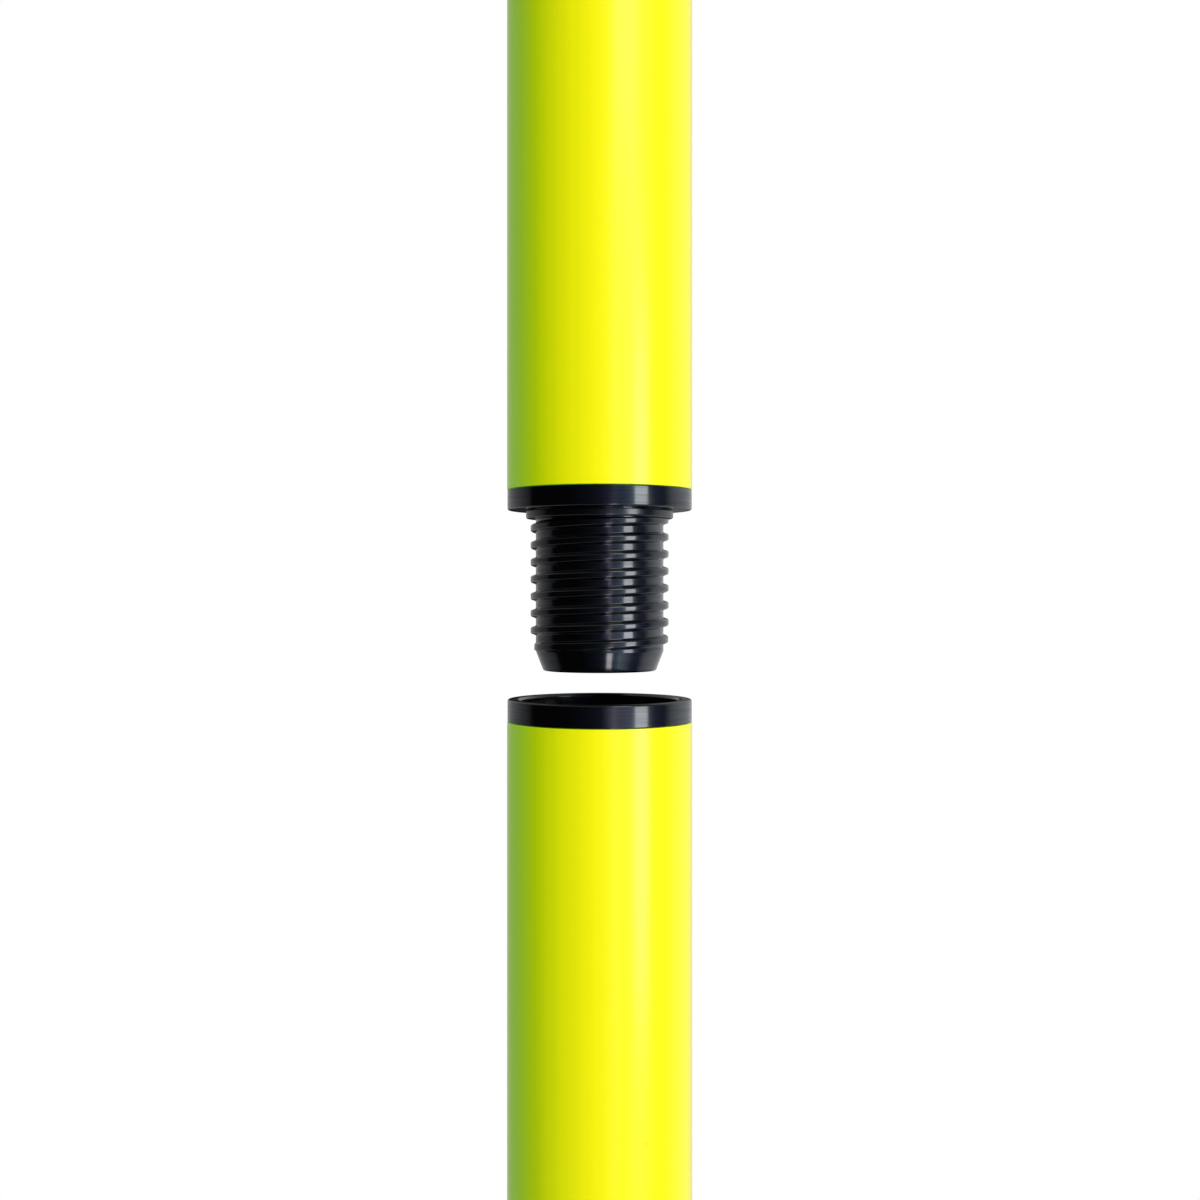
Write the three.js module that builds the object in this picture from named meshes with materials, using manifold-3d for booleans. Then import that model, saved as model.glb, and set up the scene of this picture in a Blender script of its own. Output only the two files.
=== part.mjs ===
// A slalom pole in two halves that screw together, with a steel spike at its foot.
// Millimetres, +Z up. The origin is on the pole's axis at ground level, so the spike lies below it.
// The upper half is unscrewed and raised, straight above the socket that it screws into.

import * as THREE from "three";
import { mergeVertices } from "three/addons/utils/BufferGeometryUtils.js";
import Module from "manifold-3d";

const wasm = await Module();
wasm.setup();

// Tubes
const tubeDiameter = 25;
const tubeWall = 1.25;
const lowerTubeLength = 800;
const upperTubeLength = 800;
const tubeEndChamfer = 0.1;

// Fits between pieces of one half
const spigotClearance = 0.12; // between a spigot's ribs and the tube's bore, filled by adhesive
const seatClearance = 0.05; // between two faces that rest on each other
const collarInset = 0.05; // how far a moulded collar lies inside the tube's surface

// Ribbed spigots of the moulded pieces that are glued into the tubes
const ribHeight = 0.25;
const ribWidth = 1.4;
const ribCount = 8;
const spigotLeadLength = 2.5; // taper at the free end, which starts the spigot in the tube
const spigotLeadDrop = 0.45;
const edgeChamfer = 0.35;

// Thread, one start, right-handed
const threadPitch = 2.3;
const threadDepth = 0.7;
const ridgeBaseWidth = 1.3;
const ridgeCrestWidth = 0.8;
const threadClearance = 0.17; // radial, crest to groove
const threadSidePlay = 0.12; // on each flank

// Threaded socket
const socketWall = 1.38; // from the bottom of the thread groove to the spigot's body
const socketEndGap = 8.5; // from the seated tip to the socket's lower end
const threadOverrun = 1.5; // internal thread past the lowest seated ridge
const reliefClearance = 0.1; // the relief below the thread is this much wider than the groove
const mouthClearance = 0.85; // around the washer
const mouthEndGap = 0.72; // from the start of the seated ridge to the mouth's floor
const mouthFloor = 1.12; // collar left under the mouth
const rimChamfer = 0.3;

// Threaded plug
const plugCollarHeight = 2.7;
const plugReach = 21.64; // from the collar's underside to the tip
const plugWall = 2.6;
const plugSpigotLength = 32;
const tipLength = 2.66;
const tipTaper = 1.03; // the core's radius less the tip's
const tipRounding = 0.3;
const ridgeDrop = 3.6; // from the collar's underside to a ridge's centre, on the +X side
const ridgeTipGap = 0.5; // from the last ridge's centre to the tip's taper
const ridgeFadeTurns = 0.4;
const spigotWall = 2;
const funnelLength = 2.85; // inside the spigot, from its hollow to the plug's bore

// Washer under the plug's collar
const washerHeight = 1.02;
const washerWidth = 1.17; // radial
const washerClearance = 0.15; // around the thread's core
const washerPlay = 0.12; // above the washer, and below it
const washerRounding = 0.25;

// The raised pose of the upper half
const raisedGap = 3.86; // from the socket's rim to the plug's tip
const seatedGap = 0.1; // from the rim to the plug's collar, once screwed home

// Foot plug
const footFlangeHeight = 4;
const footSpigotLength = 36;
const footSpigotWall = 2.1;
const footWebHeight = 10; // from the spike's collar to the spike's washer

// Ground spike
const shankRadius = 4;
const rodStep = 1; // rod's radius less the shank's
const spikeCollarStep = 4; // collar's radius less the shank's
const spikeCollarHeight = 3;
const spikeLength = 125;
const spikePointLength = 22;
const spikeTipRadius = 0.8;
const spikeTipHeight = 0.6;
const spikeCollarClearance = 0.15;
const shankClearance = 0.12; // in the steel washer and the nut
const shankHoleClearance = 0.5; // in the foot plug's web
const shankProtrusion = 3; // above the nut
const shankChamfer = 0.8;

// Washer and nut on the spike's shank
const steelWasherHeight = 1.6;
const steelWasherGap = 0.78; // to the foot plug's wall
const nutSides = 6;
const nutHeight = 6.5;
const nutCornerGap = 1.27; // from the nut's corners to the foot plug's wall
const nutChamfer = 0.9;

// Top cap
const capPlateHeight = 2.5;
const capRounding = 1.2;
const capSpigotLength = 16;
const capWall = 1.6;

// How the solids are cut and joined
const facets = 32; // sides of a round piece and steps in a turn of thread, which line up
const roundingSteps = 3;
const weld = 0.4; // how far joined shapes reach into each other
const overrun = 1; // how far a cutting shape reaches past what it cuts
const mergeDistance = 0.0001;

// Radii and heights that follow from the sizes above
const tubeRadius = tubeDiameter / 2;
const tubeBore = tubeRadius - tubeWall;
const collarRadius = tubeRadius - collarInset;
const ribRadius = tubeBore - spigotClearance;
const spigotRadius = ribRadius - ribHeight;

const grooveRadius = spigotRadius - socketWall;
const crestRadius = grooveRadius - threadClearance;
const coreRadius = crestRadius - threadDepth;
const socketRadius = coreRadius + threadClearance;
const reliefRadius = grooveRadius + reliefClearance;

const washerBore = coreRadius + washerClearance;
const washerRadius = washerBore + washerWidth;
const washerFoot = -washerPlay - washerHeight;
const ridgeTop = washerFoot - washerPlay;
const ridgeEnd = ridgeTipGap + tipLength - plugReach;

const mouthRadius = washerRadius + mouthClearance;
const mouthDepth = mouthEndGap - seatedGap - ridgeTop;
const socketCollarHeight = mouthDepth + mouthFloor;
const threadEnd = seatedGap + ridgeEnd - ridgeBaseWidth / 2 - threadOverrun;
const socketEnd = seatedGap - plugReach - socketEndGap;

const lowerTubeFoot = footFlangeHeight + seatClearance;
const lowerTubeTop = lowerTubeFoot + lowerTubeLength;
const rimHeight = lowerTubeTop + seatClearance + socketCollarHeight;
const raise = plugReach + raisedGap;
const screwTravel = raise - seatedGap;

const webFoot = spikeCollarHeight + seatClearance;
const webTop = webFoot + footWebHeight;
const footHollow = spigotRadius - footSpigotWall;
const steelWasherFoot = webTop + seatClearance;
const nutFoot = steelWasherFoot + steelWasherHeight + seatClearance;
const shankTop = nutFoot + nutHeight + shankProtrusion;

const fullTurn = 2 * Math.PI;

// A closed three.js geometry as a solid that can be cut and joined.
function solid(geometry) {
  const bare = geometry.clone();
  bare.deleteAttribute("normal");
  bare.deleteAttribute("uv");
  const merged = mergeVertices(bare, mergeDistance);
  const index = merged.index.array;
  const corners = [];
  for (let i = 0; i < index.length; i += 3) {
    const [a, b, c] = index.subarray(i, i + 3);
    if (a !== b && b !== c && c !== a) corners.push(a, b, c);
  }
  const vertProperties = merged.attributes.position.array;
  const triVerts = new Uint32Array(corners);
  return new wasm.Manifold(new wasm.Mesh({ numProp: 3, vertProperties, triVerts }));
}

// A solid as a named mesh.
function piece(name, shape, material) {
  const { vertProperties, triVerts } = shape.getMesh();
  const geometry = new THREE.BufferGeometry();
  geometry.setAttribute("position", new THREE.BufferAttribute(vertProperties, 3));
  geometry.setIndex(new THREE.BufferAttribute(triVerts, 1));
  geometry.computeVertexNormals();
  const mesh = new THREE.Mesh(geometry, material);
  mesh.name = name;
  return mesh;
}

// The geometry turned from a half profile of [radius, height] points, which runs up the outside
// and back down the inside or the axis.
function turnedGeometry(profile) {
  const points = profile.map(([radius, height]) => new THREE.Vector2(radius, height));
  points.push(points[0].clone());
  return new THREE.LatheGeometry(points, facets).rotateX(Math.PI / 2);
}

function turned(profile) {
  return solid(turnedGeometry(profile));
}

// Points of a rounded edge about a centre, from one angle to another in quarter turns.
function rounding(centreRadius, centreHeight, radius, fromQuarter, toQuarter) {
  const points = [];
  for (let i = 0; i <= roundingSteps; i += 1) {
    const share = i / roundingSteps;
    const angle = ((fromQuarter + share * (toQuarter - fromQuarter)) * Math.PI) / 2;
    points.push([centreRadius + radius * Math.cos(angle), centreHeight + radius * Math.sin(angle)]);
  }
  return points;
}

// The section of a spigot with crush ribs along it.
function ribbedOutline() {
  const outline = new THREE.Shape();
  const ribAngle = ribWidth / ribRadius;
  const step = fullTurn / ribCount;
  for (let i = 0; i < ribCount; i += 1) {
    const ribStart = (i + 1) * step - ribAngle;
    outline.absarc(0, 0, spigotRadius, i * step, ribStart, false);
    for (const angle of [ribStart, ribStart + ribAngle]) {
      outline.lineTo(ribRadius * Math.cos(angle), ribRadius * Math.sin(angle));
    }
  }
  return outline;
}

// A solid ribbed spigot with its root at height 0 and its free end at a distance length. The ribs
// begin to taper at the lead length from the free end.
function ribbedSpigot(length, pointsDown) {
  const settings = { depth: weld + length, bevelEnabled: false, curveSegments: 2 };
  const bar = new THREE.ExtrudeGeometry(ribbedOutline(), settings).translate(0, 0, -weld);
  const taper = turnedGeometry([
    [0, -weld - overrun],
    [ribRadius + spigotLeadDrop, -weld - overrun],
    [ribRadius + spigotLeadDrop, length - 2 * spigotLeadLength],
    [ribRadius - spigotLeadDrop, length],
    [0, length],
  ]);
  if (pointsDown) {
    bar.rotateX(Math.PI);
    taper.rotateX(Math.PI);
  }
  return solid(bar).intersect(solid(taper));
}

// A ridge's width at a radius, along its sloping flanks.
function ridgeWidthAt(radius) {
  const share = (crestRadius - radius) / threadDepth;
  return ridgeCrestWidth + share * (ridgeBaseWidth - ridgeCrestWidth);
}

// A bar of trapezoid section wound on the thread's helix, which rises by the pitch in each turn
// about +Z. Its centre passes the +X side at height startHeight. It runs between two heights
// there, and its lower end sinks in to sunkRadius over fadeTurns.
function helicalBar({ inner, outer, sidePlay, startHeight, foot, top, sunkRadius, fadeTurns }) {
  const firstStep = Math.floor(((foot - startHeight) / threadPitch) * facets);
  const lastStep = Math.ceil(((top - startHeight) / threadPitch) * facets);
  const innerHalf = ridgeWidthAt(inner) / 2 + sidePlay;
  const outerHalf = ridgeCrestWidth / 2 + sidePlay;
  const positions = [];
  const index = [];
  for (let step = firstStep; step <= lastStep; step += 1) {
    const angle = (step / facets) * fullTurn;
    const height = startHeight + (step / facets) * threadPitch;
    const risen = Math.min(1, (step - firstStep) / (fadeTurns * facets));
    const reach = sunkRadius + risen * (outer - sunkRadius);
    const section = [
      [inner, -innerHalf],
      [reach, -outerHalf],
      [reach, outerHalf],
      [inner, innerHalf],
    ];
    for (const [radius, offset] of section) {
      positions.push(radius * Math.cos(angle), radius * Math.sin(angle), height + offset);
    }
  }
  const cornerCount = 4;
  const ringCount = lastStep - firstStep + 1;
  for (let ring = 0; ring < ringCount - 1; ring += 1) {
    for (let corner = 0; corner < cornerCount; corner += 1) {
      const a = ring * cornerCount + corner;
      const b = ring * cornerCount + ((corner + 1) % cornerCount);
      index.push(a, a + cornerCount, b, b, a + cornerCount, b + cornerCount);
    }
  }
  const last = (ringCount - 1) * cornerCount;
  index.push(0, 1, 2, 0, 2, 3);
  index.push(last, last + 2, last + 1, last, last + 3, last + 2);
  const geometry = new THREE.BufferGeometry();
  geometry.setAttribute("position", new THREE.Float32BufferAttribute(positions, 3));
  geometry.setIndex(index);
  return solid(geometry);
}

// A length of tube with small chamfers on its ends' outer edges.
function tube(length) {
  return turned([
    [tubeBore, 0],
    [tubeRadius - tubeEndChamfer, 0],
    [tubeRadius, tubeEndChamfer],
    [tubeRadius, length - tubeEndChamfer],
    [tubeRadius - tubeEndChamfer, length],
    [tubeBore, length],
  ]);
}

// The threaded plug, with height 0 at its collar's underside: the thread and its tapered tip hang
// below, and the collar and the spigot that is glued into the upper tube stand above.
function threadedPlug() {
  const tipRadius = coreRadius - tipTaper;
  const body = turned([
    [0, -plugReach],
    [tipRadius - tipRounding, -plugReach],
    [tipRadius, -plugReach + tipRounding],
    [coreRadius, -plugReach + tipLength],
    [coreRadius, 0],
    [collarRadius - edgeChamfer, 0],
    [collarRadius, edgeChamfer],
    [collarRadius, plugCollarHeight],
    [0, plugCollarHeight],
  ]);
  const ridge = helicalBar({
    inner: coreRadius - weld,
    outer: crestRadius,
    sidePlay: 0,
    startHeight: -ridgeDrop,
    foot: ridgeEnd,
    top: ridgeTop + ridgeBaseWidth,
    sunkRadius: coreRadius - weld / 2,
    fadeTurns: ridgeFadeTurns,
  });
  const threadedLength = turned([
    [0, -plugReach],
    [tubeRadius, -plugReach],
    [tubeRadius, ridgeTop],
    [0, ridgeTop],
  ]);
  const spigotTop = plugCollarHeight + plugSpigotLength;
  const spigot = ribbedSpigot(plugSpigotLength, false).translate(0, 0, plugCollarHeight);
  const boreRadius = coreRadius - plugWall;
  const hollowRadius = spigotRadius - spigotWall;
  const bore = turned([
    [0, -plugReach - overrun],
    [boreRadius, -plugReach - overrun],
    [boreRadius, plugCollarHeight],
    [hollowRadius, plugCollarHeight + funnelLength],
    [hollowRadius, spigotTop + overrun],
    [0, spigotTop + overrun],
  ]);
  return body.add(ridge.intersect(threadedLength)).add(spigot).subtract(bore);
}

// The threaded socket, with height 0 at its rim: a collar with a recessed mouth, and below it the
// spigot that is glued into the lower tube. Its groove lies on the helix of the raised plug's
// ridge, carried on down, so the two are in mesh wherever the plug is on its way in.
function threadedSocket() {
  const collar = turned([
    [0, -socketCollarHeight],
    [collarRadius, -socketCollarHeight],
    [collarRadius, -edgeChamfer],
    [collarRadius - edgeChamfer, 0],
    [0, 0],
  ]);
  const spigotLength = -socketEnd - socketCollarHeight;
  const spigot = ribbedSpigot(spigotLength, true).translate(0, 0, -socketCollarHeight);
  const leadIn = grooveRadius - socketRadius;
  const bore = turned([
    [0, socketEnd - overrun],
    [reliefRadius, socketEnd - overrun],
    [reliefRadius, threadEnd - leadIn],
    [socketRadius, threadEnd],
    [socketRadius, -mouthDepth - leadIn],
    [grooveRadius, -mouthDepth],
    [mouthRadius, -mouthDepth],
    [mouthRadius, -rimChamfer],
    [mouthRadius + rimChamfer + overrun, overrun],
    [0, overrun],
  ]);
  const groove = helicalBar({
    inner: socketRadius - weld,
    outer: grooveRadius,
    sidePlay: threadSidePlay,
    startHeight: raise - ridgeDrop,
    foot: threadEnd - ridgeBaseWidth,
    top: ridgeBaseWidth - mouthDepth,
    sunkRadius: grooveRadius,
    fadeTurns: 1,
  });
  return collar.add(spigot).subtract(bore).subtract(groove);
}

// The washer under the threaded plug's collar, in the plug's own frame.
function threadWasher() {
  return turned([
    [washerBore, washerFoot],
    ...rounding(washerRadius - washerRounding, washerFoot + washerRounding, washerRounding, -1, 0),
    [washerRadius, -washerPlay],
    [washerBore, -washerPlay],
  ]);
}

// The foot plug, with height 0 at the face that stops on the ground.
function footPlug() {
  const flange = turned([
    [0, 0],
    [collarRadius - edgeChamfer, 0],
    [collarRadius, edgeChamfer],
    [collarRadius, footFlangeHeight],
    [0, footFlangeHeight],
  ]);
  const spigot = ribbedSpigot(footSpigotLength, false).translate(0, 0, footFlangeHeight);
  const spigotTop = footFlangeHeight + footSpigotLength;
  const recessRadius = shankRadius + spikeCollarStep + spikeCollarClearance;
  const holeRadius = shankRadius + shankHoleClearance;
  const hole = turned([
    [0, -overrun],
    [recessRadius, -overrun],
    [recessRadius, webFoot],
    [holeRadius, webFoot],
    [holeRadius, webTop],
    [footHollow, webTop],
    [footHollow, spigotTop + overrun],
    [0, spigotTop + overrun],
  ]);
  return flange.add(spigot).subtract(hole);
}

// The spike: a pointed rod, a collar sunk flush in the foot plug, and the shank for the nut.
function groundSpike() {
  const rodRadius = shankRadius + rodStep;
  const spikeCollarRadius = shankRadius + spikeCollarStep;
  return turned([
    [0, -spikeLength],
    [spikeTipRadius, -spikeLength + spikeTipHeight],
    [rodRadius, -spikeLength + spikePointLength],
    [rodRadius, 0],
    [spikeCollarRadius - edgeChamfer, 0],
    [spikeCollarRadius, edgeChamfer],
    [spikeCollarRadius, spikeCollarHeight],
    [shankRadius, spikeCollarHeight],
    [shankRadius, shankTop - shankChamfer],
    [shankRadius - shankChamfer, shankTop],
    [0, shankTop],
  ]);
}

function spikeWasher() {
  const bore = shankRadius + shankClearance;
  const edge = footHollow - steelWasherGap;
  return turned([
    [bore, 0],
    [edge, 0],
    [edge, steelWasherHeight],
    [bore, steelWasherHeight],
  ]);
}

// The nut: a six-sided prism with its corners turned off at both ends.
function spikeNut() {
  const cornerRadius = footHollow - nutCornerGap;
  const flatRadius = cornerRadius * Math.cos(Math.PI / nutSides);
  const prism = new THREE.CylinderGeometry(cornerRadius, cornerRadius, nutHeight, nutSides)
    .rotateX(Math.PI / 2)
    .translate(0, 0, nutHeight / 2);
  const corners = turned([
    [0, 0],
    [flatRadius, 0],
    [flatRadius + 2 * nutChamfer, nutChamfer],
    [flatRadius + 2 * nutChamfer, nutHeight - nutChamfer],
    [flatRadius, nutHeight],
    [0, nutHeight],
  ]);
  const bore = shankRadius + shankClearance;
  const hole = turned([
    [0, -overrun],
    [bore, -overrun],
    [bore, nutHeight + overrun],
    [0, nutHeight + overrun],
  ]);
  return solid(prism).intersect(corners).subtract(hole);
}

// The top cap, with height 0 at the face that rests on the upper tube's end.
function topCap() {
  const plate = turned([
    [0, 0],
    [collarRadius, 0],
    ...rounding(collarRadius - capRounding, capPlateHeight - capRounding, capRounding, 0, 1),
    [0, capPlateHeight],
  ]);
  const spigot = ribbedSpigot(capSpigotLength, true);
  const hollowRadius = spigotRadius - capWall;
  const hollow = turned([
    [0, -capSpigotLength - overrun],
    [hollowRadius, -capSpigotLength - overrun],
    [hollowRadius, 0],
    [0, 0],
  ]);
  return plate.add(spigot).subtract(hollow);
}

const yellowPlastic = { color: 0xe4f20a, roughness: 0.3, metalness: 0 };
const blackPlastic = { color: 0x0c0c10, roughness: 0.25, metalness: 0 };
const greyRubber = { color: 0x24221f, roughness: 0.6, metalness: 0 };
const zincedSteel = { color: 0xb4b6b8, roughness: 0.35, metalness: 1 };

function material(finish) {
  return new THREE.MeshStandardMaterial(finish);
}

// Sets a mesh at a height on the pole's axis.
function at(height, mesh) {
  mesh.position.z = height;
  return mesh;
}

const lowerHalf = new THREE.Group();
lowerHalf.add(
  piece("foot_plug", footPlug(), material(blackPlastic)),
  piece("ground_spike", groundSpike(), material(zincedSteel)),
  at(steelWasherFoot, piece("spike_washer", spikeWasher(), material(zincedSteel))),
  at(nutFoot, piece("spike_nut", spikeNut(), material(zincedSteel))),
  at(lowerTubeFoot, piece("lower_tube", tube(lowerTubeLength), material(yellowPlastic))),
  at(rimHeight, piece("female_connector", threadedSocket(), material(blackPlastic))),
);

const upperTubeFoot = plugCollarHeight + seatClearance;
const capFoot = upperTubeFoot + upperTubeLength + seatClearance;
const upperHalf = new THREE.Group();
upperHalf.position.z = rimHeight + raise;
upperHalf.userData.screw = { pitch: threadPitch, travel: screwTravel };
upperHalf.add(
  piece("male_connector", threadedPlug(), material(blackPlastic)),
  piece("thread_washer", threadWasher(), material(greyRubber)),
  at(upperTubeFoot, piece("upper_tube", tube(upperTubeLength), material(yellowPlastic))),
  at(capFoot, piece("top_cap", topCap(), material(blackPlastic))),
);

const group = new THREE.Group();
group.add(lowerHalf, upperHalf);

export default group;
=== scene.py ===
# A slalom pole in two halves that screw together, with a steel spike at its foot, dressed around its
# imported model. Metres, +Z up, with the origin on the pole's axis at ground level.
import math

import bpy
import numpy as np
from bpy.props import FloatProperty, FloatVectorProperty, IntProperty, PointerProperty
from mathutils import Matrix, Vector


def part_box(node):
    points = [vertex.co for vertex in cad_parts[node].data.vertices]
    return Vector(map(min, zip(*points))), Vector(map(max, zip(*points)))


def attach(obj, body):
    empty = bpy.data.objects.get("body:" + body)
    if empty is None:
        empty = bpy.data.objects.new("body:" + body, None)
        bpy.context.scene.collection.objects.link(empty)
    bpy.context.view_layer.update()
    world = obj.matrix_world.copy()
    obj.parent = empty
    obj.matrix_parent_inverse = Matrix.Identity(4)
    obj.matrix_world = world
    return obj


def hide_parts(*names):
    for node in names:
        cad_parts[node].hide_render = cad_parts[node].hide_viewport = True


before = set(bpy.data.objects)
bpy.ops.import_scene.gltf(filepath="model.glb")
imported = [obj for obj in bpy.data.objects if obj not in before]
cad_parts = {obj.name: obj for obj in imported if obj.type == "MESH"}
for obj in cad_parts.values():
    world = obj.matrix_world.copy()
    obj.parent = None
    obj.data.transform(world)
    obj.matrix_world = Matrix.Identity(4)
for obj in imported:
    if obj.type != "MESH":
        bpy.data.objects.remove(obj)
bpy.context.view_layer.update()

bl_info = {
    "name": "Slalom Pole",
    "version": (1, 0, 0),
    "blender": (4, 5, 0),
    "location": "3D View > Sidebar > Pole",
    "description": "Builds a slalom pole's tubes, threaded connectors, plugs and spike, and its studio",
    "category": "Add Mesh",
}

MM = 0.001
FULL_TURN = 2 * math.pi

# How finely the surfaces are drawn
COLUMNS = 240  # round the axis, so that a nut's corners and the crush ribs fall on columns
ARC_STEPS = 5  # in a rounded corner
SUPPORT_GAP = 0.05 * MM  # from a rounded corner's ends to the points that keep its flat sides flat
WELD_DISTANCE = 1e-7  # points nearer than this become one
SHARP_ANGLE = math.radians(32)  # an edge with more than this between its faces is sharp

WHITE = (1.0, 1.0, 1.0, 1.0)


def extent(node):
    """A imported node's lowest height, its highest one, and half of its width along X."""
    low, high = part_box(node)
    return low[2], high[2], (high[0] - low[0]) / 2


def length(name, description, millimetres):
    """A length as an add-on property, in scene units."""
    return FloatProperty(
        name=name, description=description, default=millimetres * MM, min=0, precision=5, unit="LENGTH"
    )


def share(name, description, default):
    """A number from 0 to 1 as an add-on property."""
    return FloatProperty(
        name=name, description=description, default=default, min=0, max=1, subtype="FACTOR"
    )


def colour(name, description, default):
    """A linear colour as an add-on property."""
    return FloatVectorProperty(
        name=name, description=description, default=default, size=3, min=0, max=1, subtype="COLOR"
    )


def light(name, description, default):
    """A light's radiance as an add-on property."""
    return FloatProperty(name=name, description=description, default=default, min=0)


class PoleTubeSizes(bpy.types.PropertyGroup):
    """Sizes of the two tubes and of the ribbed spigots that are glued into them."""

    wall: length("Wall", "Thickness of the tube's wall", 1.25)
    end_rounding: length("End rounding", "Rounding of the tubes' and the spigots' ends", 0.1)
    spans: IntProperty(name="Spans", description="Rows of faces along a tube", default=16, min=1)
    rib_clearance: length("Rib clearance", "Between a spigot's ribs and the tube, for adhesive", 0.12)
    rib_height: length("Rib height", "Height of a spigot's crush ribs", 0.25)
    rib_width: length("Rib width", "Width of a crush rib", 1.4)
    rib_count: IntProperty(name="Ribs", description="Crush ribs round a spigot", default=8, min=1)
    lead_start: length("Lead start", "From a spigot's free end to where its ribs begin to sink", 2.5)
    lead_end: length("Lead end", "From a spigot's free end to where its ribs have sunk", 1.11)
    lead_drop: length("Lead drop", "How much thinner a spigot is at its free end", 0.2)

    @property
    def outer(self):
        return extent("upper_tube")[2]

    @property
    def bore(self):
        return self.outer - self.wall

    @property
    def spigot(self):
        return self.bore - self.rib_clearance - self.rib_height


class PoleThreadSizes(bpy.types.PropertyGroup):
    """Sizes of the mating threads and of the two connectors that carry them."""

    pitch: length("Pitch", "Rise of the single-start thread in one turn", 2.3)
    depth: length("Depth", "Height of the ridge above the core", 0.7)
    ridge_base: length("Ridge base", "Width of the ridge at the core", 1.3)
    ridge_crest: length("Ridge crest", "Width of the ridge at its crest", 0.8)
    crest_rounding: length("Crest rounding", "Rounding of the ridge's two crest edges", 0.26)
    root_rounding: length("Root rounding", "Rounding where the ridge meets the core", 0.18)
    clearance: length("Clearance", "Between a crest and the groove's bottom", 0.17)
    side_play: length("Side play", "Between a ridge's flank and the groove's", 0.12)
    ridge_drop: length("Ridge drop", "From the collar's underside to a ridge's centre at +X", 3.6)
    fade_turns: FloatProperty(
        name="Fade", description="Turns over which the last ridge sinks", default=1.05, min=0.01
    )
    run_out: length("Run-out", "From the taper's top down to where the last ridge would end", 0.44)
    core: length("Core", "Radius of the plug's core", 8.63)
    reach: length("Reach", "From the plug's collar to its tip", 21.64)
    collar: length("Collar", "Height of the plug's collar", 2.7)
    tip_length: length("Tip length", "Length of the plug's tapered tip", 2.66)
    tip_taper: length("Tip taper", "Core's radius less the tip's", 1.03)
    tip_rounding: length("Tip rounding", "Rounding of the tip's edge", 0.3)
    plug_bore: length("Plug bore", "Radius of the hole through the plug", 6.03)
    plug_hollow: length("Plug hollow", "Radius inside the plug's spigot", 8.88)
    plug_spigot: length("Plug spigot", "Length of the plug's spigot", 32)
    funnel: length("Funnel", "Length of the funnel inside the plug's spigot", 2.85)
    washer_room: length("Washer room", "From the plug's collar to where its thread begins", 1.26)
    washer_bore: length("Washer bore", "Inner radius of the thread washer", 8.78)
    washer_rounding: length("Washer rounding", "Rounding of the thread washer's lower edge", 0.25)
    edge_rounding: length("Edge rounding", "Rounding of the collars' and other moulded edges", 0.24)
    seat_rounding: length("Seat rounding", "Rounding of the edges that are barely broken", 0.12)
    mouth: length("Mouth", "Radius of the socket's mouth", 10.8)
    mouth_depth: length("Mouth depth", "Depth of the socket's mouth", 1.88)
    mouth_chamfer: length("Mouth chamfer", "Chamfer of the mouth's edge", 0.3)
    socket_collar: length("Socket collar", "Height of the socket's collar", 3.0)
    socket_thread: length("Socket thread", "From the rim to the end of the socket's thread", 20.48)
    relief: length("Relief", "Radius below the socket's thread", 9.6)

    @property
    def socket(self):
        return self.core + self.clearance

    @property
    def groove(self):
        return self.socket + self.depth


class PoleEndSizes(bpy.types.PropertyGroup):
    """Sizes of the top cap, the foot plug, the spike and its washer and nut."""

    cap_plate: length("Cap plate", "Height of the cap's plate", 2.5)
    cap_rounding: length("Cap rounding", "Rounding of the cap's upper edge", 1.2)
    cap_wall: length("Cap wall", "Thickness of the cap's spigot", 1.6)
    flange: length("Flange", "Height of the foot plug's flange", 4)
    foot_wall: length("Foot wall", "Thickness of the foot plug's spigot", 2.1)
    recess: length("Recess", "Radius of the recess for the spike's collar", 8.15)
    recess_depth: length("Recess depth", "Depth of the recess for the spike's collar", 3.05)
    web: length("Web", "Height of the web that the spike is bolted to", 10)
    shank_hole: length("Shank hole", "Radius of the hole in the web", 4.5)
    rod: length("Rod", "Radius of the spike", 5)
    point: length("Point", "Length of the spike's point", 22)
    tip: length("Tip", "Radius of the spike's blunt tip", 0.8)
    tip_height: length("Tip height", "Height of the spike's blunt tip", 0.6)
    spike_collar: length("Spike collar", "Height of the spike's collar", 3)
    shank: length("Shank", "Outer radius of the shank's thread", 4)
    shank_pitch: length("Shank pitch", "Rise of the shank's thread in one turn", 1.25)
    shank_depth: length("Shank depth", "Depth of the shank's thread", 0.7)
    shank_chamfer: length("Shank chamfer", "Chamfer at the shank's end", 0.8)
    undercut: length("Undercut", "Plain length between the spike's collar and its thread", 1)
    steel_bore: length("Washer bore", "Inner radius of the steel washer", 4.2)
    steel_rounding: length("Steel rounding", "Rounding of the steel's and the plugs' inner edges", 0.15)
    nut_chamfer: length("Nut chamfer", "Height of the nut's turned corners", 0.9)
    nut_clearance: length("Nut clearance", "Between the nut's thread and the shank's", 0.05)


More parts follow.
